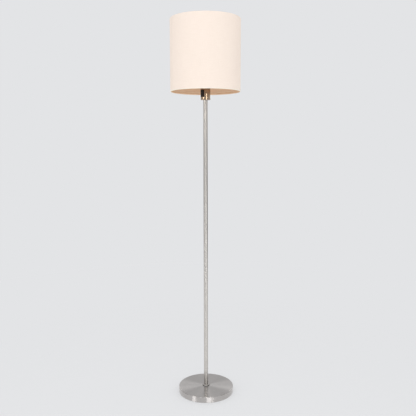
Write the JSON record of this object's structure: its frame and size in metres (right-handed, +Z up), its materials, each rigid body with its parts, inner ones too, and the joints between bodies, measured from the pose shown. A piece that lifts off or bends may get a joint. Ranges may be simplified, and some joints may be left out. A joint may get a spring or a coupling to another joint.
{
  "type": "column floor lamp",
  "caption": "Floor lamp with a weighted round foot, a straight brushed-metal pole, a rocker switch in a cup below the bulb and a cylindrical fabric shade.",
  "frame": {"origin": "on the floor, under the middle of the round foot", "axes": "+Z up along the pole; -Y is the front, which the switch faces; +Y is the rear, with the lead inlet and the shade's seam; +X is to the right seen from the front"},
  "size_m": [0.3, 0.3004, 1.638],
  "materials": {
    "brushed_nickel": "brushed nickel plate, satin, clear lacquer",
    "cast_weight": "bare casting with a thin dark primer",
    "foam_pad": "fine-cell foam, dull",
    "zinc_plate": "bright zinc plate",
    "brass": "turned, bright",
    "bronze": "rolled strip, satin",
    "black_plastic": "moulded, satin",
    "black_gloss": "moulded, polished",
    "white_plastic": "moulded, satin",
    "white_enamel": "white stove enamel on wire",
    "linen": "plain-weave cream linen, laminated",
    "shade_lining": "translucent film, satin",
    "opal_glass": "opal, softly glossy",
    "bulb_metal": "rolled sheet, bright",
    "vitrite": "black glass, gloss",
    "lead_brown": "soft insulation, satin",
    "lead_blue": "soft insulation, satin",
    "lead_green": "soft insulation, satin"
  },
  "bodies": {
    "lamp": {"base_cover": "brushed_nickel", "base_weight": "cast_weight", "base_pad": "foam_pad", "base_washer": "zinc_plate", "earth_tag": "brass", "base_lock_washer": "zinc_plate", "base_nut": "zinc_plate", "base_stud": "zinc_plate", "cord_inlet_bush": "black_plastic", "terminal_block": "white_plastic", "terminal_sleeves": "brass", "terminal_screws": "zinc_plate", "block_screw": "zinc_plate", "foot_washer": "black_plastic", "pole_lower": "brushed_nickel", "pole_middle": "brushed_nickel", "pole_upper": "brushed_nickel", "pole_inserts": "zinc_plate", "pole_nipples": "zinc_plate", "cup_nipple": "zinc_plate", "cup_lock_washer": "zinc_plate", "cup_nut": "zinc_plate", "switch_cup": "brushed_nickel", "cup_lid": "zinc_plate", "switch_body": "black_plastic", "switch_terminals": "brass", "holder_nipple": "zinc_plate", "holder_lock_washer": "zinc_plate", "holder_nut": "zinc_plate", "holder_dome": "black_plastic", "holder_carrier": "white_plastic", "centre_contact": "bronze", "side_contact": "bronze", "holder_screws": "zinc_plate", "holder_skirt": "black_plastic", "shade_lock_ring": "black_plastic", "fitter_ring": "zinc_plate", "spider_arms": "white_enamel", "shade_lower_ring": "zinc_plate", "shade_upper_ring": "zinc_plate", "shade_fabric": "linen", "shade_liner": "shade_lining", "bulb_glass": "opal_glass", "bulb_cap": "bulb_metal", "bulb_insulator": "vitrite", "bulb_contact": "bulb_metal", "lead_live": "lead_brown", "lead_neutral": "lead_blue", "lead_switched": "lead_brown", "lead_earth": "lead_green"},
    "rocker": {"switch_rocker": "black_gloss", "switch_plunger": "white_plastic", "switch_spring": "zinc_plate"},
    "contact": {"switch_blade": "bronze"}
  },
  "joints": [
    {"name": "rocker_tilt", "type": "hinge", "parent": "lamp", "child": "rocker", "pos_m": [0, -0.017, 1.331], "axis": [-1, 0, 0], "range_deg": [0, 18]},
    {"name": "contact_tilt", "type": "hinge", "parent": "lamp", "child": "contact", "pos_m": [0, -0.007, 1.331], "axis": [-1, 0, 0], "range_deg": [-10, 0]}
  ],
  "couplings": [
    {"joint": "contact_tilt", "follows": "rocker_tilt", "ratio": -0.5555}
  ]
}
